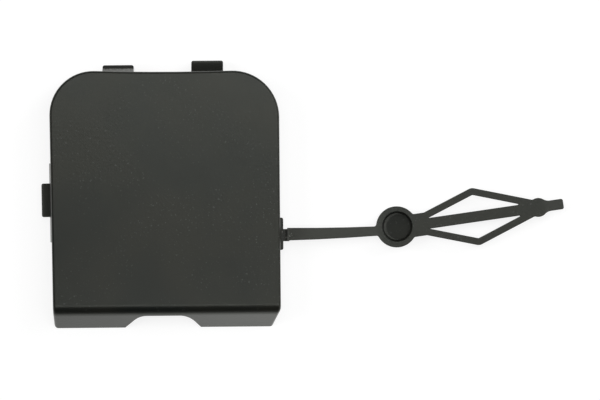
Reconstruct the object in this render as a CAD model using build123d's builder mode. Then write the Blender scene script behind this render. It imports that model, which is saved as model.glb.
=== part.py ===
from build123d import *
import math
import os

os.makedirs("parts", exist_ok=True)

# Tow hook cover for a bumper: a square cover plate with a folded lip, snap hooks round
# its edge, and a retaining strap with a plug and a squeeze-in anchor, all one moulding.
# The show face looks along +Z, the two upper hooks are on the +Y edge, and the strap
# leaves along +X. The origin is the middle of the show face. Lengths are in mm.

# Cover plate
plate_width = 101.4
plate_height = 103.0
side_lean = 1.1
top_rise = 1.3
top_tilt = 0.3
corner_radius_left = 19.3
corner_radius_right = 20.6
wall = 2.5
edge_round = 1.1

# Folded lip, whose bend starts a little inside the plate's height, and the depth from the
# show face to the plane that the whole part lies on
depth = 12.9
bend_inner_radius = 3.1
bend_lead = 0.6
lip_angle = 61.25
lip_slant = 27.5
lip_slant_drop = 2.45
lip_slant_round = 5.0
lip_corner_round = 2.2
lip_corner_overrun = 0.3

# Notch in the lip
notch_depth = 5.3
notch_top_width = 21.7
notch_centre = -0.8
notch_slope_left = 38.3
notch_slope_right = 46.0
notch_round = 9.3

# Rim and ribs behind the plate
rim_inset = 1.5
rim_wall = 1.8
rim_height = 4.5
rib_wall = 1.2
rib_height = 3.0
rib_spacing = 32.0

# Snap hooks: one arm each, with a sloping, slightly rounded catch that faces the plate
hook_arm = 2.0
hook_inset = 0.4
hook_grip = 3.6
catch_slope = 33.0
catch_round = 9.0
nose_end = 0.9
nose_corner_round = 0.9

top_left_hook_x = -20.3
top_left_hook_width = 13.7
top_left_hook_stand_off = 1.45
top_left_hook_reach = 2.95

top_right_hook_x = 19.0
top_right_hook_width = 14.0
top_right_hook_stand_off = 0.6
top_right_hook_reach = 4.9

left_hook_y = -4.6
left_hook_width = 14.85
left_hook_stand_off = 0.8
left_hook_reach = 4.5

left_wall_y = -5.8
left_wall_length = 34.8
left_wall_height = 6.5

strap_hook_y = -20.3
strap_hook_width = 14.3
strap_hook_stand_off = 0.0
strap_hook_reach = 1.3

# Retaining strap, joined to its hook by a hinge with a groove across its top
hinge_length = 1.7
hinge_width = 5.4
hinge_thickness = 0.8
hinge_groove = 0.4
hinge_offset = -0.6
strap_thickness = 1.8
strap_offset = -0.2
strap_root_width = 5.6
strap_end_width = 3.9
strap_bow = 0.35
strap_end_face = 0.25
tether_edge_round = 0.25

# Plug: a flanged cup that stands on the same plane as the hooks, with its recess a little
# off the cup's middle
plug_step = 48.35
plug_rise = 2.6
plug_to_strap = -1.3
flange_radius = 9.1
cup_radius = 7.5
cup_lead_in = 0.5
recess_wall = 0.55
recess_offset_x = 0.3
recess_offset_y = 0.15
recess_draft = 9.0
recess_floor = 1.6
recess_rim_round = 0.3
junction_round = 1.0

# Anchor: a diamond of thin arms round a middle bar, with a bulge and a pull tail
anchor_turn = 7.8
anchor_offset = -0.53
neck_length = 12.8
neck_width = 10.15
arm_thickness = 3.07
arm_front_angle = 19.3
arm_back_angle = 19.5
diamond_width = 25.78
diamond_apex_round = 3.3
middle_bar_width = 4.8
gap_front_round = 0.06
gap_back_round = 0.2
gap_apex_round = 0.8
arms_end_width = 5.93
bulge_radius = 4.2
bulge_front_blend = 1.5
bulge_back_blend = 4.4
tail_length = 11.18
tail_width = 4.65
tail_corner_round = 0.9

# Lengths closer than this count as the same when an edge is picked
same_length = 0.01

# Places worked out from the sizes above
bend_radius = bend_inner_radius + wall
right_edge = plate_width / 2
top_edge = plate_height / 2
bend_start = bend_lead - plate_height / 2
lip_turn = math.radians(lip_angle)


def sheet_foot(inset):
    """The y where the folded sheet's surface, this far below its outer side, meets the foot plane."""
    radius = bend_radius - inset
    drop = depth - bend_radius + radius * math.cos(lip_turn)
    return bend_start - radius * math.sin(lip_turn) - drop / math.tan(lip_turn)


def left_edge(y):
    """The x of the cover's left side, which leans in towards the lip."""
    return -plate_width / 2 + (top_edge - y) * side_slope


def upper_edge(x):
    """The y of the cover's upper edge, which dips in its middle and falls a little to the right."""
    return top_edge + top_rise * (x / right_edge) ** 2 - x * math.tan(math.radians(top_tilt))


lip_edge = sheet_foot(0)
crest_top = max(upper_edge(-right_edge), upper_edge(right_edge))
side_slope = side_lean / (top_edge - lip_edge)
outline_foot = lip_edge - lip_corner_overrun
lip_slant_start = bend_start - lip_slant_drop
lip_slant_run = (lip_slant_start - outline_foot) * math.tan(math.radians(lip_slant))
catch_rise = math.tan(math.radians(catch_slope))

strap_middle = -wall - hook_grip - (strap_hook_reach - strap_hook_stand_off) * catch_rise - nose_end / 2
strap_top = strap_middle + strap_thickness / 2
strap_root = right_edge + strap_hook_reach + hinge_length
plug_x = strap_root + plug_step
plug_y = strap_hook_y + plug_rise
recess_x = plug_x + recess_offset_x
recess_y = plug_y + recess_offset_y
recess_radius = cup_radius - recess_wall - math.hypot(recess_offset_x, recess_offset_y)
recess_depth = strap_top + depth - recess_floor

arm_front_rise = math.tan(math.radians(arm_front_angle))
arm_back_rise = math.tan(math.radians(arm_back_angle))
apex_along = neck_length + (diamond_width - neck_width) / 2 / arm_front_rise
bulge_along = apex_along + (diamond_width - arms_end_width) / 2 / arm_back_rise
front_arm_across = arm_thickness / math.cos(math.radians(arm_front_angle))
back_arm_across = arm_thickness / math.cos(math.radians(arm_back_angle))
gap_apex_along = apex_along + (front_arm_across - back_arm_across) / (arm_front_rise + arm_back_rise)
gap_apex_half = diamond_width / 2 - front_arm_across + (gap_apex_along - apex_along) * arm_front_rise
gap_front_along = gap_apex_along - (gap_apex_half - middle_bar_width / 2) / arm_front_rise
gap_back_along = gap_apex_along + (gap_apex_half - middle_bar_width / 2) / arm_back_rise


def snap_hook(edge_plane, width, stand_off, reach):
    """One hook. edge_plane stands across the plate's edge, with x outwards and y along +Z."""
    catch_start = -wall - hook_grip
    catch_end = catch_start - (reach - stand_off) * catch_rise
    with BuildPart() as hook:
        with BuildSketch(edge_plane):
            with BuildLine():
                catch = RadiusArc((stand_off, catch_start), (reach, catch_end), catch_round)
                Polyline(
                    catch @ 1,
                    (reach, catch_end - nose_end),
                    (stand_off, -depth),
                    (stand_off - hook_arm, -depth),
                    (stand_off - hook_arm, catch_start),
                    (-hook_inset - hook_arm, -wall / 2),
                    (-hook_inset, -wall / 2),
                    catch @ 0,
                )
            make_face()
        extrude(amount=width / 2, both=True)
        tip = hook.faces().sort_by(Axis(edge_plane.origin, edge_plane.x_dir))[-1]
        corners = tip.edges().filter_by(Axis.Z)
        fillet(corners, radius=nose_corner_round)
    return hook.part


def side_wall(edge_plane, length, height, stand_off):
    """A plain wall behind the plate's edge that stands a little proud of it, like a hook's arm."""
    with BuildPart() as upright:
        with BuildSketch(edge_plane):
            with BuildLine():
                Polyline(
                    (-hook_inset, -wall / 2),
                    (stand_off, -wall - hook_grip),
                    (stand_off, -wall - height),
                    (stand_off - hook_arm, -wall - height),
                    (stand_off - hook_arm, -wall - hook_grip),
                    (-hook_inset - hook_arm, -wall / 2),
                    close=True,
                )
            make_face()
        extrude(amount=length / 2, both=True)
    return upright.part


def on_flange_side(edge):
    """Whether an upright edge stands on the side of the plug's flange."""
    middle = edge.center()
    from_plug = math.hypot(middle.X - plug_x, middle.Y - plug_y)
    return abs(from_plug - flange_radius) < same_length


def upper_plane(x):
    """The plane across the upper edge at this x."""
    return Plane(origin=(x, upper_edge(x), 0), x_dir=(0, 1, 0), z_dir=(1, 0, 0))


def left_plane(y):
    """The plane across the left edge at this y, square to the side's lean."""
    return Plane(origin=(left_edge(y), y, 0), x_dir=(-1, -side_slope, 0), z_dir=(-side_slope, 1, 0))


right_plane = Plane(origin=(right_edge, strap_hook_y, 0), x_dir=(1, 0, 0), z_dir=(0, -1, 0))

# The plane across the hinge, at the middle of its length and thickness
hinge_middle = (strap_root - hinge_length / 2, strap_hook_y + hinge_offset, strap_middle)
hinge_plane = Plane(origin=hinge_middle, x_dir=(1, 0, 0), z_dir=(0, -1, 0))

edge_parts = [
    snap_hook(
        upper_plane(top_left_hook_x), top_left_hook_width, top_left_hook_stand_off, top_left_hook_reach
    ),
    snap_hook(
        upper_plane(top_right_hook_x), top_right_hook_width, top_right_hook_stand_off, top_right_hook_reach
    ),
    snap_hook(left_plane(left_hook_y), left_hook_width, left_hook_stand_off, left_hook_reach),
    snap_hook(right_plane, strap_hook_width, strap_hook_stand_off, strap_hook_reach),
    side_wall(left_plane(left_wall_y), left_wall_length, left_wall_height, left_hook_stand_off),
]

# The cover's outline seen from the front, down to just past the edge of the lip
with BuildSketch() as outline:
    with BuildLine():
        top_left = (left_edge(top_edge), upper_edge(left_edge(top_edge)))
        top_right = (right_edge, upper_edge(right_edge))
        crest = ThreePointArc(top_left, (0, top_edge), top_right)
        Polyline(
            crest @ 1,
            (right_edge, lip_slant_start),
            (right_edge - lip_slant_run, outline_foot),
            (left_edge(outline_foot), outline_foot),
            crest @ 0,
        )
    make_face()
    fillet(outline.vertices().sort_by_distance(top_left)[0], radius=corner_radius_left)
    fillet(outline.vertices().sort_by_distance(top_right)[0], radius=corner_radius_right)
    fillet(outline.vertices().sort_by_distance((right_edge, lip_slant_start))[0], radius=lip_slant_round)
    fillet(outline.vertices().group_by(Axis.Y)[0], radius=lip_corner_round)

# The notch in the lip, seen from the front, run out past the lip's edge
notch_top = lip_edge + notch_depth
notch_run_out = notch_depth + lip_corner_overrun
notch_left = notch_centre - notch_top_width / 2
notch_right = notch_centre + notch_top_width / 2
with BuildSketch() as notch:
    with BuildLine():
        Polyline(
            (notch_left, notch_top),
            (notch_right, notch_top),
            (
                notch_right + notch_run_out / math.tan(math.radians(notch_slope_right)),
                notch_top - notch_run_out,
            ),
            (
                notch_left - notch_run_out / math.tan(math.radians(notch_slope_left)),
                notch_top - notch_run_out,
            ),
            close=True,
        )
    make_face()
    fillet(notch.vertices().group_by(Axis.Y)[-1], radius=notch_round)

# The strap, seen from the front: it narrows and rises a little towards the plug
strap_end_y = plug_y + plug_to_strap
strap_root_y = strap_hook_y + strap_offset
strap_middle_x = (strap_root + plug_x) / 2
strap_middle_y = (strap_root_y + strap_end_y) / 2 - strap_bow
mean_half_width = (strap_root_width + strap_end_width) / 4

# The anchor's own plane: x runs from beside the plug's centre to the tail
anchor_direction = (math.cos(math.radians(anchor_turn)), math.sin(math.radians(anchor_turn)), 0)
anchor_start = (
    plug_x - anchor_offset * math.sin(math.radians(anchor_turn)),
    plug_y + anchor_offset * math.cos(math.radians(anchor_turn)),
    strap_top,
)
anchor_plane = Plane(origin=anchor_start, x_dir=anchor_direction, z_dir=(0, 0, 1))

with BuildPart() as tether:
    with BuildSketch(Plane.XY.offset(strap_top)):
        with BuildLine():
            strap_upper = ThreePointArc(
                (strap_root, strap_root_y + strap_root_width / 2),
                (strap_middle_x, strap_middle_y + mean_half_width),
                (plug_x, strap_end_y + strap_end_width / 2),
            )
            strap_lower = ThreePointArc(
                (strap_root, strap_root_y - strap_root_width / 2),
                (strap_middle_x, strap_middle_y - mean_half_width),
                (plug_x, strap_end_y - strap_end_width / 2),
            )
            Line(strap_upper @ 0, strap_lower @ 0)
            Line(strap_upper @ 1, strap_lower @ 1)
        make_face()
        with Locations((plug_x, plug_y)):
            Circle(flange_radius)
    extrude(amount=-strap_thickness)

    # Anchor: neck, diamond, bulge and tail in one outline
    with BuildSketch(anchor_plane) as anchor:
        with BuildLine():
            Polyline(
                (0, neck_width / 2),
                (neck_length, neck_width / 2),
                (apex_along, diamond_width / 2),
                (bulge_along, arms_end_width / 2),
                (bulge_along, -arms_end_width / 2),
                (apex_along, -diamond_width / 2),
                (neck_length, -neck_width / 2),
                (0, -neck_width / 2),
                close=True,
            )
        make_face()
        with Locations((bulge_along, 0)):
            Circle(bulge_radius)
            Rectangle(tail_length, tail_width, align=(Align.MIN, Align.CENTER))
        # A round adds corners only on the root's side of the sharp ones, so these count from the tail
        anchor_rounds = [diamond_apex_round, bulge_front_blend, bulge_back_blend, tail_corner_round]
        for number, radius in enumerate(anchor_rounds):
            corners = anchor.vertices().group_by(Axis.X)[number - len(anchor_rounds)]
            fillet(corners, radius=radius)
    extrude(amount=-strap_thickness)

    # The two long gaps that let the diamond be squeezed flat
    with BuildSketch(anchor_plane) as gaps:
        with BuildLine():
            Polyline(
                (gap_front_along, middle_bar_width / 2),
                (gap_apex_along, gap_apex_half),
                (gap_back_along, middle_bar_width / 2),
                close=True,
            )
        make_face()
        gap_rounds = [gap_front_round, gap_apex_round, gap_back_round]
        for number, radius in enumerate(gap_rounds):
            corners = gaps.vertices().group_by(Axis.X)[number - len(gap_rounds)]
            fillet(corners, radius=radius)
        mirror(about=Plane.XZ)
    extrude(amount=-strap_thickness, mode=Mode.SUBTRACT)

    # Small rounds where the strap and the neck run into the flange
    uprights = tether.edges().filter_by(Axis.Z)
    fillet(uprights.filter_by(on_flange_side), radius=junction_round)

    # The strap's root ends in a sloping face, and all other edges are slightly round
    root_edges = tether.edges().filter_by(Axis.Y).group_by(Axis.X)[0]
    chamfer(root_edges.sort_by(Axis.Z)[-1], length=strap_end_face, length2=strap_thickness / 2)
    top_edges = tether.faces().sort_by(Axis.Z)[-1].edges().sort_by(Axis.X)[1:]
    fillet(top_edges, radius=tether_edge_round)

    # The plug's cup below the flange, and the recess in it
    with BuildSketch(Plane.XY.offset(-depth)):
        with Locations((plug_x, plug_y)):
            Circle(cup_radius)
    extrude(amount=strap_top - strap_thickness / 2 + depth)
    chamfer(tether.faces().sort_by(Axis.Z)[0].edges(), length=cup_lead_in)
    with BuildSketch(Plane.XY.offset(strap_top)):
        with Locations((recess_x, recess_y)):
            Circle(recess_radius)
    extrude(amount=-recess_depth, taper=recess_draft, mode=Mode.SUBTRACT)
    circles = tether.edges().filter_by(GeomType.CIRCLE)
    recess_rim = circles.filter_by(lambda edge: abs(edge.radius - recess_radius) < same_length)
    fillet(recess_rim, radius=recess_rim_round)

with BuildPart() as cover:
    # The rim follows the outline, and the ribs cross inside it
    with BuildSketch(Plane.XY.offset(-wall / 2)):
        add(outline.sketch)
        offset(amount=-rim_inset)
        offset(amount=-rim_wall, mode=Mode.SUBTRACT)
    extrude(amount=-(wall / 2 + rim_height))
    with BuildSketch(Plane.XY.offset(-wall / 2)):
        with GridLocations(rib_spacing, 0, 2, 1):
            Rectangle(rib_wall, plate_height - 2 * rim_inset - rim_wall)
        with GridLocations(0, rib_spacing, 1, 2):
            Rectangle(plate_width - 2 * rim_inset - rim_wall, rib_wall)
    extrude(amount=-(wall / 2 + rib_height))

    # They stop inside the thickness of the folded sheet
    with BuildSketch(Plane.YZ):
        with BuildLine():
            core = CenterArc((bend_start, -bend_radius), bend_radius - wall / 2, 90, lip_angle)
            Polyline(
                core @ 0,
                (crest_top, -wall / 2),
                (crest_top, -depth),
                (sheet_foot(wall / 2), -depth),
                core @ 1,
            )
        make_face()
    extrude(amount=plate_width, both=True, mode=Mode.INTERSECT)

    # The folded sheet: flat plate, bend and lip in one thickness
    with BuildSketch(Plane.YZ):
        with BuildLine():
            outer = CenterArc((bend_start, -bend_radius), bend_radius, 90, lip_angle)
            inner = CenterArc((bend_start, -bend_radius), bend_inner_radius, 90, lip_angle)
            Polyline(outer @ 0, (crest_top, 0), (crest_top, -wall), inner @ 0)
            Polyline(outer @ 1, (lip_edge, -depth), (sheet_foot(wall), -depth), inner @ 1)
        make_face()
    extrude(amount=plate_width, both=True)
    extrude(outline.sketch, amount=-depth, mode=Mode.INTERSECT)

    # The show face's edge is rounded, and the round runs on down both ends of the lip
    face_edges = cover.faces().sort_by(Axis.Z)[-1].edges().sort_by(Axis.Y)
    fillet(face_edges[1:], radius=edge_round)
    extrude(notch.sketch, amount=-depth, mode=Mode.SUBTRACT)

    # Hooks and the left wall
    for edge_part in edge_parts:
        add(edge_part)

    # The hinge overlaps the strap's hook at one end and the strap at the other
    hinge_run = hinge_length + hook_arm
    with BuildSketch(hinge_plane):
        with BuildLine():
            Polyline(
                (-hinge_run / 2, -hinge_thickness / 2),
                (-hinge_run / 2, hinge_thickness / 2),
                (-hinge_length / 2, hinge_thickness / 2),
                (0, hinge_thickness / 2 - hinge_groove),
                (hinge_length / 2, hinge_thickness / 2),
                (hinge_run / 2, hinge_thickness / 2),
                (hinge_run / 2, -hinge_thickness / 2),
                close=True,
            )
        make_face()
    extrude(amount=hinge_width / 2, both=True)
    add(tether.part)

cover.part.label = "tow_hook_cover"
export_step(cover.part, "parts/tow_hook_cover.step")
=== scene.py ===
# %% [markdown]
# A bumper's tow hook cover, finished and photographed. The part comes from the drawing
# office as one measured solid: a square plate with a folded lip, snap hooks round its
# edge, and a strap that ends in a plug and an anchor. It is a single moulding in black
# plastic, so this lesson is about two things: how black plastic is made to look right,
# and how a studio has to be lit for it. We load the solid first and note its size,
# because nothing that we add may change the outline that was measured.

# %% Load the measured part
import math

import bpy
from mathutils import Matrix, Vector


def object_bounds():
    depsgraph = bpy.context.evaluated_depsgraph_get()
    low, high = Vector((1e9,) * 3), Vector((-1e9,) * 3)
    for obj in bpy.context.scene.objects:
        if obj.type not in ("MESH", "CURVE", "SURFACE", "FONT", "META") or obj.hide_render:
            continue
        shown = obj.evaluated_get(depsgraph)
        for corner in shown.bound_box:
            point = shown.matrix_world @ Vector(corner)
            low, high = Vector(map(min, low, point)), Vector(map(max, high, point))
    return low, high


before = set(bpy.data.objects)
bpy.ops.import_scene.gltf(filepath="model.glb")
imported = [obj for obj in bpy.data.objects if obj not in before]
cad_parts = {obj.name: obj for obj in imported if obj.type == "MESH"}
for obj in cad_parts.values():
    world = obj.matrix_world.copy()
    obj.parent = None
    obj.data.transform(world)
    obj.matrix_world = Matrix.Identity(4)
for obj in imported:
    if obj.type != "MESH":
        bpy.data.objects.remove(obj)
cad_low, cad_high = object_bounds()
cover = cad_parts["tow_hook_cover"]
millimetre = 0.001
print("the moulding measures", [round(v / millimetre, 1) for v in cad_high - cad_low], "mm")

# %% [markdown]
# The camera hangs straight above the part, as it does for a catalogue picture. A short
# lens close by would show the sides of the hooks and make the folded lip flare. An
# orthographic camera would show no perspective at all, and the picture has a trace of
# it. So we take a long lens two metres up, and work its focal length out from the
# width that the picture covers. The part lay half a degree off square on the table,
# and rolling the camera by as much costs nothing and leaves the part alone.

# %% Camera
picture_width_px = 600
pixel = 0.44 * millimetre
camera_height = 2.0
camera_roll = math.radians(-0.5)
aim = Vector((59.5, -5.46, 0)) * millimetre

camera_data = bpy.data.cameras.new("camera")
camera_data.sensor_width = 36.0
picture_width = picture_width_px * pixel
camera_data.lens = camera_data.sensor_width * camera_height / picture_width
camera = bpy.data.objects.new("camera", camera_data)
bpy.context.scene.collection.objects.link(camera)
camera.location = aim + Vector((0, 0, camera_height))
camera.rotation_euler = (0, 0, camera_roll)
bpy.context.scene.camera = camera
bpy.context.scene.view_settings.view_transform = "Standard"
print("lens", round(camera_data.lens, 1), "mm,", round(picture_width / millimetre), "mm across the picture")

# %% [markdown]
# Materials here are node trees, and a tree of thirty nodes is hard to read when each
# one takes four lines. These helpers make one node each, set it and join its inputs,
# so that a finish further down reads like a recipe.

# %% Node helpers
def add_node(tree, kind, settings=None, inputs=None):
    """A new shader node. settings are its own options, inputs maps socket to value or output."""
    made = tree.nodes.new(kind)
    for name, value in (settings or {}).items():
        setattr(made, name, value)
    for socket, value in (inputs or {}).items():
        if isinstance(value, bpy.types.NodeSocket):
            tree.links.new(value, made.inputs[socket])
        else:
            made.inputs[socket].default_value = value
    return made


def math_node(tree, operation, first, second):
    """The result of one sum on two numbers or outputs."""
    return add_node(tree, "ShaderNodeMath", {"operation": operation}, {0: first, 1: second}).outputs[0]


def ramp(tree, value, start, end, start_result=0.0, end_result=1.0):
    """value run smoothly from start_result at start to end_result at end, and flat outside."""
    inputs = {
        "Value": value,
        "From Min": start,
        "From Max": end,
        "To Min": start_result,
        "To Max": end_result,
    }
    return add_node(tree, "ShaderNodeMapRange", {"interpolation_type": "SMOOTHSTEP"}, inputs).outputs[0]


def noise(tree, place, per_metre, detail=2.0, roughness=0.5):
    """A noise from 0 to 1 with this many spots in a metre."""
    inputs = {"Vector": place, "Scale": per_metre, "Detail": detail, "Roughness": roughness}
    return add_node(tree, "ShaderNodeTexNoise", {"noise_dimensions": "3D"}, inputs).outputs[0]


def blend(tree, factor, first, second):
    """The number between first and second by factor. A mix node has its numbers in sockets 2 and 3."""
    inputs = {0: factor, 2: first, 3: second}
    return add_node(tree, "ShaderNodeMix", {"data_type": "FLOAT"}, inputs).outputs[0]


def distance_from(tree, place, point):
    """How far the place is from a point, both in metres, ignoring height."""
    flat = add_node(tree, "ShaderNodeVectorMath", {"operation": "MULTIPLY"}, {0: place, 1: (1, 1, 0)})
    gap = add_node(tree, "ShaderNodeVectorMath", {"operation": "DISTANCE"}, {0: flat.outputs[0], 1: point})
    return gap.outputs["Value"]


# %% [markdown]
# The plastic is polypropylene filled with carbon black. Its own colour is close to
# nothing: almost all that the camera gets from it is the studio, mirrored in a skin
# that is slightly rough. What makes it look real is where it differs from itself, so we
# first mark out places on it. The marks could be painted into an image, but a few
# distances do it without one. They are taken from the object's own coordinates, so the
# finish stays where it is when the part is moved. A mark is a number that is 1 on its
# place and 0 off it. Between the two it runs smoothly over a span, which is given in
# millimetres as on the drawing.

# %% Start the plastic
plastic = bpy.data.materials.new("black_plastic")
plastic.use_nodes = True
tree = plastic.node_tree
shader = tree.nodes["Principled BSDF"]
place = add_node(tree, "ShaderNodeTexCoord").outputs["Object"]
across, along, height = add_node(tree, "ShaderNodeSeparateXYZ", None, {"Vector": place}).outputs


def mark_after(value, span):
    """A mark that is 0 up to the first end of the span and 1 from the second end on."""
    return ramp(tree, value, span[0] * millimetre, span[1] * millimetre)


def mark_before(value, span):
    """A mark that is 1 up to the first end of the span and 0 from the second end on."""
    return ramp(tree, value, span[0] * millimetre, span[1] * millimetre, 1.0, 0.0)


def both(first, second):
    """A mark where two others lie over each other."""
    return math_node(tree, "MULTIPLY", first, second)


print("started", plastic.name)

# %% [markdown]
# The tether is all that lies past the short hook on the right: the strap, the plug and
# the anchor. Fingers pull on the strap, between its root and the plug, and on the tail.
# The tail is worn less, so its mark stops at seven tenths. Round the strap's root,
# where the plastic is bent again and again, a round mark fades out with the distance.

# %% Marks on the tether
tether_span = (52.5, 58.0)
root_span = (54.0, 66.0)
plug_span = (92.0, 99.0)
tail_span = (165.5, 169.5)
tail_wear = 0.7
strap_root = Vector((53.4, -20.8, 0)) * millimetre
strain_span = (1.0, 4.5)

on_tether = mark_after(across, tether_span)
on_strap = both(mark_after(across, root_span), mark_before(across, plug_span))
on_tail = math_node(tree, "MULTIPLY", mark_after(across, tail_span), tail_wear)
pulled = math_node(tree, "ADD", on_strap, on_tail)
near_root = mark_before(distance_from(tree, place, strap_root), strain_span)
print("the strap is marked from", root_span[0], "to", plug_span[1], "mm, the tail from", tail_span[0])

# %% [markdown]
# The plug has a recess that a thumb or a tool presses into. Most of its floor is a dull
# disc that lies a little off the middle, and what the disc leaves of the floor is a
# crescent, painted a paler grey as painted light, on the side of the floor that the light
# reaches. A ring would be simpler, but the picture shows the crescent. The floor is found
# by its height over the plane that the part lies on, which is the low side of the box that we measured.

# %% Marks in the plug's recess
floor_thickness = 1.6
recess_floor = cad_low.z / millimetre + floor_thickness
floor_span = (recess_floor + 0.5, recess_floor + 0.2)
matt_centre = Vector((103.2, -17.7, 0)) * millimetre
matt_radius = 5.7
matt_span = (matt_radius - 0.2, matt_radius)
crescent_span = (matt_radius + 1.2, matt_radius + 1.6)

on_floor = mark_after(height, floor_span)
from_matt = distance_from(tree, place, matt_centre)
on_matt = both(on_floor, mark_before(from_matt, matt_span))
off_matt = math_node(tree, "SUBTRACT", 1.0, on_matt)
on_crescent = both(both(on_floor, off_matt), mark_before(from_matt, crescent_span))
print("the recess's floor is at", round(recess_floor, 2), "mm, its dull disc", 2 * matt_radius, "mm across")

# %% [markdown]
# The other marks lie at the plate's edge: the lip, the crease in the hinge at the
# strap's root, the upper left hook with its slope, and the short hook on the right.
# Each is a slice of the part, cut out by one span or more. A slice takes in all that
# lies in it, so the upper left hook needs a second span that keeps the upper right
# hook out.

# %% Marks at the plate's edge
lip_span = (-53.5, -55.5)
neck_span = (52.4, 52.8)
strap_span = (54.1, 54.8)
upper_edge_span = (52.2, 52.7)
left_half_span = (-8.0, -10.0)
nose_span = (53.1, 53.5)
right_edge_span = (50.9, 51.3)

on_lip = mark_after(along, lip_span)
on_crease = both(mark_after(across, neck_span), mark_before(across, strap_span))
on_left_hook = both(mark_after(along, upper_edge_span), mark_after(across, left_half_span))
on_slope = both(on_left_hook, mark_before(along, nose_span))
on_short_hook = both(mark_after(across, right_edge_span), mark_before(across, neck_span))
print("marked the lip, the crease, the upper left hook with its slope, and the short hook")

# %% [markdown]
# How rough the skin is decides how wide an area of the studio each spot mirrors. The
# show face came off a finely eroded tool, and its roughness drifts a little from place
# to place as it does on any moulding. The tether bends and is handled, and is a shade
# duller. The floor of the plug's recess was left by the coarse end of a core pin and is
# the dullest. One value for all would make the part look cut from a single sheet of
# card. The drift is a soft noise, spread between the face's two roughnesses.

# %% Roughness
def spots(per_metre, span, detail=2.0, roughness=0.5):
    """Spots of noise over the part: 0 where the noise is below the span, and 1 above it."""
    return ramp(tree, noise(tree, place, per_metre, detail, roughness), span[0], span[1])


clouds_per_metre = 28.0
clouds_span = (0.25, 0.75)
face_roughness_least = 0.29
face_roughness_most = 0.33
tether_roughness = 0.34
matt_roughness = 0.60
plastic_ior = 1.5

clouds = spots(clouds_per_metre, clouds_span, detail=3.0)
roughness = blend(tree, clouds, face_roughness_least, face_roughness_most)
roughness = blend(tree, on_tether, roughness, tether_roughness)
roughness = blend(tree, on_matt, roughness, matt_roughness)
tree.links.new(roughness, shader.inputs["Roughness"])
shader.inputs["IOR"].default_value = plastic_ior
print("roughness: face", face_roughness_least, "to", face_roughness_most)
print("tether", tether_roughness, "recess floor", matt_roughness)

# %% [markdown]
# The colour is nearly black with a trace of green, which is what carbon black in this
# plastic looks like under white lamps, and the reflections have a trace of it too.
# Across the face the black drifts slowly between a cooler and a warmer one, and in some
# patches a little dust sits on it. Both are noises: a wide one for the drift, and for
# the dust a fine one that is cut off high, so that only its tips are left. Dust as
# grains of its own would be thousands of pieces for a shade of grey.

# %% Black, drift and dust
face_black = (0.0052, 0.0064, 0.0058, 1)
warm_black = (0.0102, 0.0100, 0.0076, 1)
dust_grey = (0.037, 0.038, 0.037, 1)
reflection_tint = (0.96, 1.0, 0.91, 1)
drift_per_metre = 24.0
drift_span = (0.35, 0.65)
patches_per_metre = 32.0
patches_span = (0.36, 0.62)
dust_size = 1.1 * millimetre
dust_span = (0.64, 0.75)


def mix_colour(factor, first, second):
    """The colour between first and second by factor. A mix node has its colours in sockets 6 and 7."""
    inputs = {"Factor": factor, 6: first, 7: second}
    return add_node(tree, "ShaderNodeMix", {"data_type": "RGBA"}, inputs).outputs[2]


drift = spots(drift_per_metre, drift_span)
patches = spots(patches_per_metre, patches_span, roughness=0.6)
dust = both(spots(1 / dust_size, dust_span, detail=1.0), patches)
colour = mix_colour(drift, face_black, warm_black)
colour = mix_colour(dust, colour, dust_grey)
shader.inputs["Specular Tint"].default_value = reflection_tint
print("black drifts from", face_black[:3], "to", warm_black[:3])

# %% [markdown]
# Wear turns the black grey on the strap and the tail that fingers pull. The other greys
# are painted light, each mixed in where light or its reflection lifts the black: a painted
# reflection of the bright table on the lip, lighter towards its right end, and on the arms
# of two hooks; a paler crescent on the side of the recess's floor that the light reaches;
# and a paler crease at the strap's root, over the shade that its walls cast. Each is the
# black mixed with a grey that is still dark, through one of the marks. The slope of the
# upper left hook carries a painted highlight of pale spots, and round the crease the
# plastic shows pale specks, as it does when it is strained. Both are fine noises like the
# dust's. The highlight's spots are cut lower than the dust, so that they cover about half
# of the slope, and the specks fade out a few millimetres away from the crease.

# %% Worn greys and painted light
pulled_grey = (0.0240, 0.0248, 0.0215, 1)
# painted reflection: the lip's greys stand in for the bright table that the steep lip mirrors, lighter to
# the right where the table is brighter
lip_painted_light_left = (0.022, 0.023, 0.020, 1)
lip_painted_light_right = (0.045, 0.047, 0.043, 1)
# painted light: the crescent's paler grey stands for the lit side of the recess's floor
crescent_painted_light = (0.027, 0.028, 0.025, 1)
# painted light: the crease's paler grey lifts the shade that the groove's walls cast
crease_painted_light = (0.040, 0.041, 0.038, 1)
# painted reflection: this grey on two hooks stands in for the table that their arms mirror
hook_painted_light = (0.018, 0.018, 0.017, 1)
# painted highlight: pale spots on the upper left hook's slope stand in for its bright lit face
slope_painted_highlight = (0.13, 0.13, 0.12, 1)
strained_grey = (0.16, 0.16, 0.15, 1)
plate_span = (-50.0, 50.0)
highlight_spot_size = 0.9 * millimetre
highlight_spot_span = (0.42, 0.58)
speck_size = 0.8 * millimetre
speck_span = (0.60, 0.72)

# painted reflection on the lip, lighter towards the right
lip_painted_light = mix_colour(mark_after(across, plate_span), lip_painted_light_left, lip_painted_light_right)
# painted highlight spots, over about half of the slope
slope_highlight_spots = both(spots(1 / highlight_spot_size, highlight_spot_span, detail=1.0), on_slope)
strain = both(spots(1 / speck_size, speck_span, detail=1.0), near_root)
# real wear on the strap and tail, and painted light on the lip, hooks, crescent, crease and slope
wear_and_painted_light = [
    (on_lip, lip_painted_light),
    (pulled, pulled_grey),
    (on_crescent, crescent_painted_light),
    (on_crease, crease_painted_light),
    (on_left_hook, hook_painted_light),
    (slope_highlight_spots, slope_painted_highlight),
    (on_short_hook, hook_painted_light),
    (strain, strained_grey),
]
for mark, grey in wear_and_painted_light:
    colour = mix_colour(mark, colour, grey)
tree.links.new(colour, shader.inputs["Base Color"])
print("mixed", len(wear_and_painted_light), "kinds of wear over the black")

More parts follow.
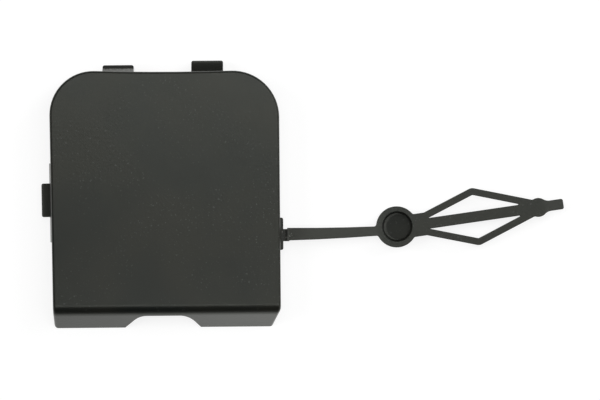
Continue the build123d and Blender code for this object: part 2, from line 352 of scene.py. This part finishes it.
# %% [markdown]
# The grain of the tool is smaller than a picture's pixel from two metres, yet it shows
# as soon as the camera comes near, so we add it as bump and not as geometry. A second,
# much wider wave is the slight sink of the plastic over its ribs, and keeps the
# reflections from being dead straight. Between the two lies a mottle about a millimetre
# wide, in the patches that hold the dust: there the skin mirrors the lamps a little
# unevenly. The depths are real ones, in metres, so the bump node's own strength and
# distance stay at 1.

# %% Grain, waves and mottle
grain_size = 0.35 * millimetre
grain_depth = 0.012 * millimetre
wave_size = 14 * millimetre
wave_depth = 0.03 * millimetre
mottle_size = 1.2 * millimetre
mottle_depth = 0.045 * millimetre

grain = noise(tree, place, 1 / grain_size, roughness=0.6)
waves = noise(tree, place, 1 / wave_size, detail=1.0)
mottle = both(noise(tree, place, 1 / mottle_size), patches)
relief = math_node(tree, "MULTIPLY", grain, grain_depth)
for pattern, depth in ((waves, wave_depth), (mottle, mottle_depth)):
    relief = math_node(tree, "ADD", relief, math_node(tree, "MULTIPLY", pattern, depth))
bump = add_node(tree, "ShaderNodeBump", None, {"Strength": 1.0, "Distance": 1.0, "Height": relief})
tree.links.new(bump.outputs[0], shader.inputs["Normal"])
cover.data.materials.clear()
cover.data.materials.append(plastic)
print("the finish is on", cover.name)

# %% [markdown]
# The table is white, and the picture's background is the table. It could end at a wall
# or sweep up into one, but from above the camera sees nothing else, so a wide plane of
# plain paper does. It has no gloss, so the specular level is 0. It lies a hair below the
# part, because two faces at exactly the same height would flicker through each other.

# %% White table
table_size = 30.0
table_gap = 0.02 * millimetre
paper_white = (0.85, 0.85, 0.85, 1)
paper_roughness = 0.9

bpy.ops.mesh.primitive_plane_add(size=table_size, location=(0, 0, cad_low.z - table_gap))
table = bpy.context.object
table.name = "table"
paper = bpy.data.materials.new("white_paper")
paper.use_nodes = True
paper_tree = paper.node_tree
paper_shader = paper_tree.nodes["Principled BSDF"]
paper_shader.inputs["Base Color"].default_value = paper_white
paper_shader.inputs["Roughness"].default_value = paper_roughness
paper_shader.inputs["Specular IOR Level"].default_value = 0.0
table.data.materials.append(paper)
print("table", table_size, "m wide,", table_gap / millimetre, "mm below the part")

# %% [markdown]
# A white floor that is only lit never gets quite white without burning the part out, so
# for the camera and for reflections most of the table's light is its own. Round the
# part three tenths of what the camera sees is ordinary lit paper, and that share takes
# the object's shadow. Farther out than the picture reaches the share runs down to
# nothing, so that the table is also white in a low view. The table does real work too:
# the lip and the hooks' arms look down at it, and what they mirror lifts them out of
# the black. In the picture it is overexposed, a little more on the right. The camera
# can't tell, but the lip can, so what the table gives to reflections rises towards the
# right.

# %% The table's own light
own_share_near = 0.70
own_share_far = 1.0
near_distance = 0.16
far_distance = 0.50
mirrored_share = 0.85
white_level = 1.17
glow_left_end = -0.06
glow_right_end = 0.06
glow_on_left = 1.2
glow_on_right = 1.5

rays = add_node(paper_tree, "ShaderNodeLightPath").outputs
seen = rays["Is Camera Ray"]
mirrored = math_node(paper_tree, "MAXIMUM", rays["Is Glossy Ray"], rays["Is Transmission Ray"])
paper_place = add_node(paper_tree, "ShaderNodeTexCoord").outputs["Object"]
paper_across = add_node(paper_tree, "ShaderNodeSeparateXYZ", None, {"Vector": paper_place}).outputs[0]
from_part = distance_from(paper_tree, paper_place, aim)
seen_share = ramp(paper_tree, from_part, near_distance, far_distance, own_share_near, own_share_far)
share_to_camera = math_node(paper_tree, "MULTIPLY", seen, seen_share)
share_to_mirrors = math_node(paper_tree, "MULTIPLY", mirrored, mirrored_share)
share = math_node(paper_tree, "ADD", share_to_camera, share_to_mirrors)
mirrored_level = ramp(paper_tree, paper_across, glow_left_end, glow_right_end, glow_on_left, glow_on_right)
strength = blend(paper_tree, seen, mirrored_level, white_level)
glow = add_node(paper_tree, "ShaderNodeEmission", None, {"Color": (1, 1, 1, 1), "Strength": strength})
both_lights = {0: share, 1: paper_shader.outputs[0], 2: glow.outputs[0]}
surface = add_node(paper_tree, "ShaderNodeMixShader", None, both_lights)
paper_tree.links.new(surface.outputs[0], paper_tree.nodes["Material Output"].inputs["Surface"])
print("near the part", round(1 - own_share_near, 2), "of the table's light is lit paper")

# %% [markdown]
# Black plastic is lit by what it mirrors. Two soft boxes hang level over the part, and
# they are what the face shows the camera. Between them is a dark gap, and its blurred
# reflection lies across the lower part of the face: that is why the face is brightest
# along its upper edge, fades, and comes up again just before the bend. In front of the
# boxes the room is dark, which draws the black line along the bend. One big box would
# be easier to hang, but the face would then be one flat grey. A lamp's power is worked
# out from how bright its surface should be, because that is what a mirror sees, however
# large the lamp is.

# %% Soft boxes
def area_lamp(name, spot, target, size, radiance, mirrored):
    """A flat lamp that faces a target and shines with this radiance, in reflections too if mirrored."""
    data = bpy.data.lights.new(name, "AREA")
    data.shape = "RECTANGLE"
    data.size, data.size_y = size
    data.energy = radiance * math.pi * size[0] * size[1]
    lamp = bpy.data.objects.new(name, data)
    bpy.context.scene.collection.objects.link(lamp)
    lamp.location = spot
    lamp.rotation_mode = "QUATERNION"
    lamp.rotation_quaternion = (spot - target).to_track_quat("Z", "Y")
    lamp.visible_camera = False
    lamp.visible_glossy = mirrored


box_height = 0.55
box_left = -0.17
box_right = 0.42


def soft_box(name, front, back, radiance):
    """A soft box that hangs level over the part, from front to back."""
    below = Vector(((box_left + box_right) / 2, (front + back) / 2, 0))
    spot = below + Vector((0, 0, box_height))
    area_lamp(name, spot, below, (box_right - box_left, back - front), radiance, True)


soft_box("soft_box_front", front=-0.19, back=-0.10, radiance=2.9)
soft_box("soft_box_back", front=0.015, back=0.28, radiance=1.95)
print("two soft boxes hang", box_height, "m up")

# %% [markdown]
# Two more lamps come in from the sides. They light what scatters light and doesn't
# mirror it, which is the grey of the wear and of the painted light, and the table's paper.
# They are kept out of the reflections and only fill, and they are set so that a grey card
# beside the part renders nearly as grey as it is. From the side they leave the plug's recess in shade.

# %% Fill lamps
fill_size = (0.9, 0.9)
fill_right_spot = Vector((1.5, 0.9, 0.95))
fill_right_radiance = 5.2
fill_left_spot = Vector((-1.4, 0.2, 1.0))
fill_left_radiance = 3.8
area_lamp("fill_right", fill_right_spot, aim, fill_size, fill_right_radiance, False)
area_lamp("fill_left", fill_left_spot, aim, fill_size, fill_left_radiance, False)
print("fill lamps: radiance", fill_right_radiance, "from the right,", fill_left_radiance, "from the left")

# %% [markdown]
# The room itself is the sky of the scene. The camera sees it white, like the table.
# For the light it is dim, with a window's worth of glow to the right, less to the left,
# less again at the back, and next to nothing at the front. These differences are small,
# but the hooks point in three directions and each one shows its own side of the room.
# Walls with windows in them would do the same with more to build. The renderer needn't
# look for bright spots in so soft a sky, so we switch that search off.

# %% Room
room_dim = 0.05
room_glow_right = 0.55
room_glow_left = 0.30
room_glow_back = 0.15
side_start = 0.2

room = bpy.data.worlds.new("room")
bpy.context.scene.world = room
room.use_nodes = True
room.cycles.sampling_method = "NONE"
sky = room.node_tree
facing = add_node(sky, "ShaderNodeTexCoord").outputs["Generated"]
east, north, _ = add_node(sky, "ShaderNodeSeparateXYZ", None, {"Vector": facing}).outputs
west = math_node(sky, "MULTIPLY", east, -1.0)
light_level = room_dim
for side, side_glow in ((east, room_glow_right), (west, room_glow_left), (north, room_glow_back)):
    light_level = math_node(sky, "ADD", light_level, ramp(sky, side, side_start, 1.0, 0.0, side_glow))
sky_seen = add_node(sky, "ShaderNodeLightPath").outputs["Is Camera Ray"]
backdrop = sky.nodes["Background"]
backdrop.inputs["Color"].default_value = (1, 1, 1, 1)
sky.links.new(blend(sky, sky_seen, light_level, 1.0), backdrop.inputs["Strength"])
print("room", room_dim, "at the front,", room_glow_right, "more at the right")
